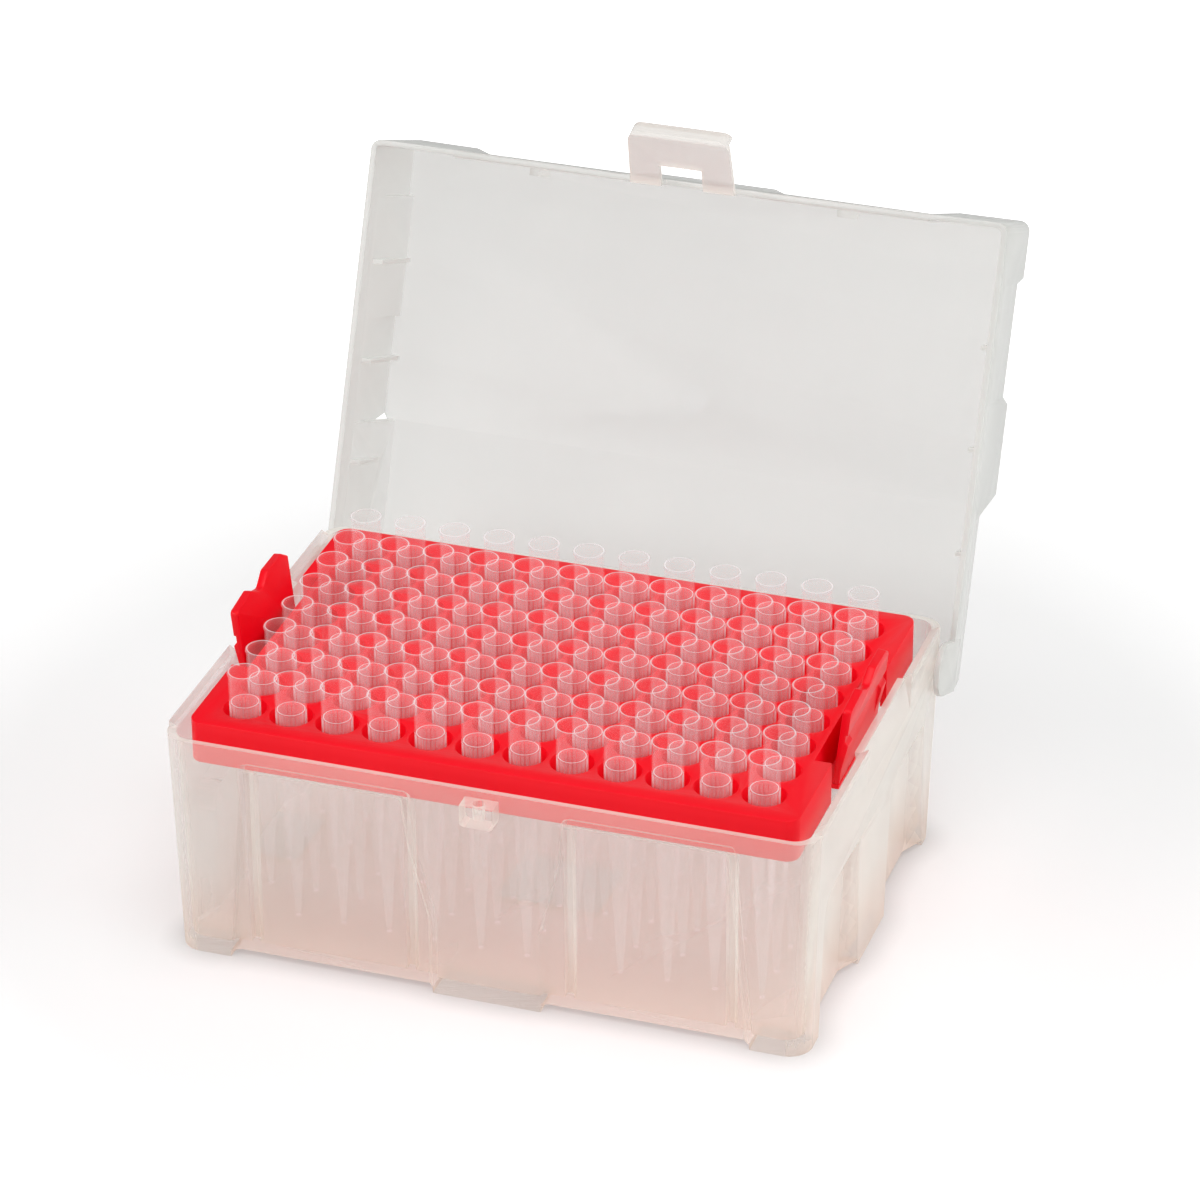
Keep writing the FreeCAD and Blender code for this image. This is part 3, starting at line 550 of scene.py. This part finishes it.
# %% Eight tips for each column of the tray
TIP_ROWS = 8
TIP_SHARP_DEG = 42.0
tip_columns = sorted(name for name in nodes if name.startswith("tips_column"))
for name in tip_columns:
    low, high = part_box(name)
    pitch = (high.y - low.y - 2 * TIP_RIM_R * MM) / (TIP_ROWS - 1)
    column = bmesh.new()
    for row in range(TIP_ROWS):
        before = len(column.verts)
        column.from_mesh(one_tip)
        column.verts.ensure_lookup_table()
        spot = Vector(((low.x + high.x) / 2, low.y + TIP_RIM_R * MM + row * pitch, high.z))
        bmesh.ops.translate(column, vec=spot, verts=column.verts[before:])
    mesh = bpy.data.meshes.new(name + "_clear")
    column.to_mesh(mesh)
    column.free()
    mesh.shade_smooth()
    mesh.set_sharp_from_angle(angle=math.radians(TIP_SHARP_DEG))
    place(name + "_clear", mesh, pink_glow_clear_plastic, "base", slot_of(name), name)
print("columns of tips:", len(tip_columns), "pitch mm:", round(pitch / MM, 3))

# %% [markdown]
# ## Floor and light
#
# The box stands in a white light tent with three softboxes. A tent bright enough to look pure white
# would burn out the pale plastic, so it lights the box with a weaker grey. The look of a picture
# that was cut out on white is then copied for the camera's own rays: where nothing stands in front
# of them, the backdrop is white, and the floor is lifted to white as it gets farther from the box.
# Near the box the floor keeps the shadow, and an Ambient Occlusion node deepens it a little in the
# last millimetres.

# %% The floor
FLOOR_HALF_M = 3.0
FLOOR_TONE = "F4F4F4"
CONTACT_MM = 6.0
CONTACT_DEPTH = 0.45
LIFT_NEAR = 0.1
LIFT_FAR = 1.0
LIFT_FROM_M = 0.12
LIFT_TO_M = 0.38
FIRST_SURFACE = 0.5

floor_mesh = bpy.data.meshes.new("floor")
bm = bmesh.new()
bmesh.ops.create_grid(bm, x_segments=1, y_segments=1, size=FLOOR_HALF_M)
bm.to_mesh(floor_mesh)
bm.free()
floor = bpy.data.objects.new("floor", floor_mesh)
bpy.context.scene.collection.objects.link(floor)


def camera_rays(tree):
    """Two shares: 1 for any camera ray, and 1 for one that has met no plastic yet, otherwise 0."""
    path = add(tree, "ShaderNodeLightPath")
    seen = path.outputs["Is Camera Ray"]
    first = number(tree, "LESS_THAN", path.outputs["Transparent Depth"], FIRST_SURFACE)
    return seen, number(tree, "MULTIPLY", first, seen)


white, tree, output = new_material("white studio floor")
plain = add(tree, "ShaderNodeBsdfDiffuse", {"Color": linear(FLOOR_TONE)})
open_sky = add(tree, "ShaderNodeAmbientOcclusion", {"Distance": CONTACT_MM * MM}).outputs["AO"]
hidden = number(tree, "SUBTRACT", 1.0, open_sky)
shade = number(tree, "SUBTRACT", 1.0, number(tree, "MULTIPLY", hidden, CONTACT_DEPTH))
tone = add(tree, "ShaderNodeVectorMath", {0: linear(FLOOR_TONE)[:3]}, {"Scale": shade},
           operation="SCALE")
shaded = add(tree, "ShaderNodeBsdfDiffuse", None, {"Color": tone.outputs[0]})
where = add(tree, "ShaderNodeTexCoord").outputs["Object"]
away = add(tree, "ShaderNodeVectorMath", None, {0: where}, operation="LENGTH").outputs["Value"]
lift = add(tree, "ShaderNodeMapRange",
           {"From Min": LIFT_FROM_M, "From Max": LIFT_TO_M, "To Min": LIFT_NEAR, "To Max": LIFT_FAR},
           {"Value": away}).outputs[0]
glow = add(tree, "ShaderNodeEmission", {"Color": linear("FFFFFF")},
           {"Strength": number(tree, "MULTIPLY", shade, lift)})
lifted = add(tree, "ShaderNodeAddShader", None, {0: shaded.outputs[0], 1: glow.outputs[0]})
bare = camera_rays(tree)[1]
either = add(tree, "ShaderNodeMixShader", None,
             {0: bare, 1: plain.outputs[0], 2: lifted.outputs[0]})
tree.links.new(either.outputs[0], output.inputs["Surface"])
floor_mesh.materials.append(white)
print("floor reaches", FLOOR_HALF_M, "m each way, and is white from", LIFT_TO_M, "m on")

# %% The light tent
TENT_LIGHT = 0.3
TENT_THROUGH_PLASTIC = 0.8

world = bpy.data.worlds.new("white light tent")
bpy.context.scene.world = world
world.use_nodes = True
tree = world.node_tree
tree.nodes.clear()
seen, bare = camera_rays(tree)
around = add(tree, "ShaderNodeMapRange", {"To Min": TENT_LIGHT, "To Max": TENT_THROUGH_PLASTIC},
             {"Value": seen})
behind = number(tree, "ADD", around.outputs[0],
                number(tree, "MULTIPLY", bare, 1 - TENT_THROUGH_PLASTIC))
sky = add(tree, "ShaderNodeBackground", {"Color": linear("FFFFFF")}, {"Strength": behind})
add(tree, "ShaderNodeOutputWorld", None, {"Surface": sky.outputs[0]})
print("tent:", TENT_LIGHT, "as light,", TENT_THROUGH_PLASTIC, "through plastic, 1.0 in plain view")

# %% Three softboxes
LAMP_TARGET = (0, 0, 0.04)


def softbox(name, spot, size, watts):
    """A square area lamp at spot, in metres, aimed at the middle of the box."""
    lamp = bpy.data.lights.new(name, "AREA")
    lamp.shape = "SQUARE"
    lamp.size = size
    lamp.energy = watts
    holder = bpy.data.objects.new(name, lamp)
    bpy.context.scene.collection.objects.link(holder)
    holder.location = spot
    aim = Vector(LAMP_TARGET) - Vector(spot)
    holder.rotation_euler = aim.to_track_quat("-Z", "Y").to_euler()
    print(name, "at", [round(v, 2) for v in spot], "watts", watts)


softbox("overhead softbox", spot=(0.10, -0.15, 0.95), size=0.7, watts=4.6)
softbox("right softbox", spot=(1.05, 0.10, 0.35), size=0.6, watts=4.7)
softbox("left front softbox", spot=(-0.65, -0.85, 0.45), size=0.6, watts=5.2)

# %% [markdown]
# ## Camera
#
# The view is a long lens from about a metre away: a little from the right, 29 degrees above the
# bench. The camera turns about the middle of the field of tips, at the height of their rims.

# %% Where the camera stands
VIEW_AZIMUTH = 18.65
VIEW_ELEVATION = 28.99
VIEW_ROLL = -0.30
VIEW_DISTANCE_MM = 997.4
VIEW_ASIDE_MM = (7.811, 5.828)

first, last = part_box(tip_columns[0]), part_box(tip_columns[-1])
aim = Vector(((first[0].x + last[1].x) / 2, (first[0].y + first[1].y) / 2, first[1].z))
azimuth = math.radians(VIEW_AZIMUTH)
elevation = math.radians(VIEW_ELEVATION)
backward = Vector((math.sin(azimuth) * math.cos(elevation), -math.cos(azimuth) * math.cos(elevation),
                   math.sin(elevation)))
level = Vector((0, 0, 1)).cross(backward).normalized()
upright = backward.cross(level)
roll = math.radians(VIEW_ROLL)
right = level * math.cos(roll) + upright * math.sin(roll)
up = upright * math.cos(roll) - level * math.sin(roll)
eye = aim + (right * VIEW_ASIDE_MM[0] + up * VIEW_ASIDE_MM[1] + backward * VIEW_DISTANCE_MM) * MM
turn = Matrix((right, up, backward)).transposed().to_4x4()
print("camera at", [round(v, 4) for v in eye])

# %% [markdown]
# A look through the box can pass through dozens of clear faces, so many transparent bounces are
# allowed. Eight bounces of light are enough for the inside of the base.

# %% The camera and its lens
LENS_MM = 162.63
SENSOR_MM = 36.0
NEAR_M = 0.05
FAR_M = 20.0
CLEAR_FACES = 96
LIGHT_BOUNCES = 8

lens = bpy.data.cameras.new("camera")
lens.lens = LENS_MM
lens.sensor_width = SENSOR_MM
lens.clip_start = NEAR_M
lens.clip_end = FAR_M
camera = bpy.data.objects.new("camera", lens)
bpy.context.scene.collection.objects.link(camera)
camera.matrix_world = Matrix.Translation(eye) @ turn
bpy.context.scene.camera = camera
bpy.context.scene.view_settings.view_transform = "Standard"
bpy.context.scene.cycles.transparent_max_bounces = CLEAR_FACES
bpy.context.scene.cycles.max_bounces = LIGHT_BOUNCES
print("lens mm:", LENS_MM, "transparent bounces:", CLEAR_FACES)

# %% A last update of the scene
bpy.context.view_layer.update()
